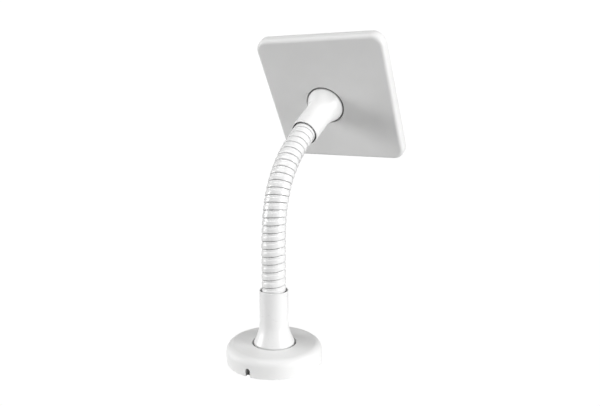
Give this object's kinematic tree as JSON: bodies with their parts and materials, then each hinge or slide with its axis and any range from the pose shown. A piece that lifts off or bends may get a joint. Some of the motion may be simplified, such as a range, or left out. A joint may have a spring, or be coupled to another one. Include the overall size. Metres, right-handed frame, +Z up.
{
  "type": "gooseneck customer display stand",
  "caption": "Counter-top customer display on a gooseneck: round weighted base with a cable notch, flexible interlocked hose between flared swivel sockets, and a square display head.",
  "frame": {"origin": "middle of the base's underside, on the counter", "axes": "+Z up along the lower socket, +Y the way the neck leans and the display faces, -Y the cable notch, +X to the right seen from behind the display"},
  "size_m": [0.185, 0.2518, 0.4094],
  "materials": {
    "white_shell": "satin moulded",
    "white_socket": "satin gloss moulded",
    "white_hose": "satin powder coat",
    "weight_iron": "painted casting",
    "bright_steel": "bright",
    "zinc_plate": "zinc plated",
    "nylon": "natural nylon",
    "foot_rubber": "matte",
    "black_foam": "adhesive foam",
    "cover_glass": "polished, dark border",
    "display_screen": "display polariser",
    "circuit_board": "solder mask",
    "dark_fibre": "pressed fibre",
    "chip_black": "moulded epoxy",
    "ribbon_film": "polyimide film"
  },
  "bodies": {
    "base": {"base_cover": "white_shell", "base_weight": "weight_iron", "foot_pad": "foot_rubber", "weight_screw_1": "bright_steel", "weight_screw_2": "bright_steel", "weight_screw_3": "bright_steel", "lower_bush": "nylon", "lower_friction_washer": "dark_fibre"},
    "lower_arm": {"lower_socket": "white_socket", "lower_hollow_stem": "bright_steel", "lower_nut": "zinc_plate", "lower_spring_washer": "bright_steel", "lower_ferrule": "zinc_plate", "hose_link_01": "white_hose"},
    "neck_02": {"hose_link_02": "white_hose"},
    "neck_03": {"hose_link_03": "white_hose"},
    "neck_04": {"hose_link_04": "white_hose"},
    "neck_05": {"hose_link_05": "white_hose"},
    "neck_06": {"hose_link_06": "white_hose"},
    "neck_07": {"hose_link_07": "white_hose"},
    "neck_08": {"hose_link_08": "white_hose"},
    "neck_09": {"hose_link_09": "white_hose"},
    "neck_10": {"hose_link_10": "white_hose"},
    "neck_11": {"hose_link_11": "white_hose"},
    "upper_arm": {"upper_socket": "white_socket", "upper_hollow_stem": "bright_steel", "upper_nut": "zinc_plate", "upper_spring_washer": "bright_steel", "upper_ferrule": "zinc_plate", "hose_link_12": "white_hose"},
    "head": {"board_connector": "zinc_plate", "board_screw_1": "bright_steel", "board_screw_2": "bright_steel", "board_screw_3": "bright_steel", "board_screw_4": "bright_steel", "chassis_plate": "zinc_plate", "chassis_screw_1": "bright_steel", "chassis_screw_2": "bright_steel", "chassis_screw_3": "bright_steel", "chassis_screw_4": "bright_steel", "cover_glass": "cover_glass", "display_board": "circuit_board", "display_driver_chip": "chip_black", "display_module": "display_screen", "display_ribbon": "ribbon_film", "front_bezel": "white_shell", "glass_tape": "black_foam", "power_chip": "chip_black", "processor_chip": "chip_black", "rear_housing": "white_shell", "upper_bush": "nylon", "upper_friction_washer": "dark_fibre"}
  },
  "joints": [
    {"name": "base_swivel", "type": "hinge", "parent": "base", "child": "lower_arm", "pos_m": [0, 0, 0.0242], "axis": [0, 0, 1], "range_deg": [-175, 175]},
    {"name": "neck_side_1", "type": "hinge", "parent": "lower_arm", "child": "neck_02", "pos_m": [0, 0, 0.1035], "axis": [0, 1, 0], "range_deg": [-9, 9]},
    {"name": "neck_side_2", "type": "hinge", "parent": "neck_02", "child": "neck_03", "pos_m": [0, 0, 0.13934], "axis": [0, 1, 0], "range_deg": [-9, 9]},
    {"name": "neck_lean_1", "type": "hinge", "parent": "neck_03", "child": "neck_04", "pos_m": [0, 0, 0.15726], "axis": [-1, 0, 0], "range_deg": [-5.5, 1.83]},
    {"name": "neck_side_3", "type": "hinge", "parent": "neck_04", "child": "neck_05", "pos_m": [0, 0.00172, 0.1751], "axis": [0, 0.9954, -0.0958], "range_deg": [-9, 9]},
    {"name": "neck_lean_2", "type": "hinge", "parent": "neck_05", "child": "neck_06", "pos_m": [0, 0.00344, 0.19293], "axis": [-1, 0, 0], "range_deg": [-14.5, 4.83]},
    {"name": "neck_side_4", "type": "hinge", "parent": "neck_06", "child": "neck_07", "pos_m": [0, 0.00956, 0.20977], "axis": [0, 0.9397, -0.342], "range_deg": [-9, 9]},
    {"name": "neck_lean_3", "type": "hinge", "parent": "neck_07", "child": "neck_08", "pos_m": [0, 0.01569, 0.22661], "axis": [-1, 0, 0], "range_deg": [-18, 6]},
    {"name": "neck_side_5", "type": "hinge", "parent": "neck_08", "child": "neck_09", "pos_m": [0, 0.02673, 0.24074], "axis": [0, 0.788, -0.6157], "range_deg": [-9, 9]},
    {"name": "neck_lean_4", "type": "hinge", "parent": "neck_09", "child": "neck_10", "pos_m": [0, 0.03776, 0.25486], "axis": [-1, 0, 0], "range_deg": [-15, 5]},
    {"name": "neck_side_6", "type": "hinge", "parent": "neck_10", "child": "neck_11", "pos_m": [0, 0.05207, 0.26564], "axis": [0, 0.6018, -0.7986], "range_deg": [-9, 9]},
    {"name": "neck_lean_5", "type": "hinge", "parent": "neck_11", "child": "upper_arm", "pos_m": [0, 0.06638, 0.27642], "axis": [-1, 0, 0], "range_deg": [-6.2, 2.07]},
    {"name": "head_swivel", "type": "hinge", "parent": "upper_arm", "child": "head", "pos_m": [0, 0.1351, 0.31739], "axis": [0, -0.859, -0.512], "range_deg": [-90, 90]}
  ]
}
